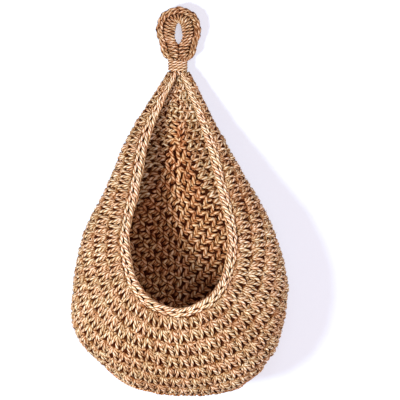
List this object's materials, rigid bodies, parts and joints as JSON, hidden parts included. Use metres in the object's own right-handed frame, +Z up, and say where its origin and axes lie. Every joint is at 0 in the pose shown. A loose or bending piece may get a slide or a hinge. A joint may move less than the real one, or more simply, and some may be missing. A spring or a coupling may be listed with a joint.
{
  "type": "wall basket",
  "caption": "Teardrop wall basket crocheted from jute twine, with an open front mouth, a bound neck and a stitched hanging loop.",
  "frame": {"origin": "hang point, where a hook meets the top of the loop's eye", "axes": "+Z up, +X to the right seen from the front, -Y to the front, +Y to the wall"},
  "size_m": [0.2144, 0.1139, 0.3873],
  "materials": {
    "jute_twine": "coarse three-ply twine, dry and hairy",
    "light_jute_twine": "paler straw-coloured twine, dry and hairy"
  },
  "bodies": {
    "hanging_loop": {"loop_eye_chain": "jute_twine", "loop_upright_stitches": "jute_twine", "loop_outer_braid": "jute_twine"},
    "basket": {"back_panel_course_01": "jute_twine", "back_panel_course_02": "jute_twine", "back_panel_course_03": "jute_twine", "back_panel_course_04": "jute_twine", "back_panel_course_05": "jute_twine", "back_panel_course_06": "jute_twine", "back_panel_course_07": "jute_twine", "back_panel_course_08": "jute_twine", "back_panel_course_09": "jute_twine", "back_panel_course_10": "jute_twine", "back_panel_course_11": "jute_twine", "back_panel_course_12": "jute_twine", "back_panel_course_13": "jute_twine", "back_panel_course_14": "jute_twine", "back_panel_course_15": "jute_twine", "back_panel_course_16": "jute_twine", "back_panel_course_17": "jute_twine", "back_panel_course_18": "jute_twine", "back_panel_course_19": "jute_twine", "back_panel_course_20": "jute_twine", "back_panel_course_21": "jute_twine", "back_panel_course_22": "jute_twine", "back_panel_course_23": "jute_twine", "back_panel_course_24": "jute_twine", "wall_course_01": "jute_twine", "wall_course_02": "jute_twine", "wall_course_03": "jute_twine", "wall_course_04": "jute_twine", "wall_course_05": "jute_twine", "wall_course_06": "jute_twine", "wall_course_07": "jute_twine", "mouth_edging": "light_jute_twine", "gathered_neck": "jute_twine", "neck_binding": "light_jute_twine"}
  },
  "joints": [
    {"name": "neck_flex", "type": "hinge", "parent": "hanging_loop", "child": "basket", "pos_m": [0, -0.00051, -0.0317], "axis": [-1, 0, 0], "range_deg": [0, 60]}
  ]
}
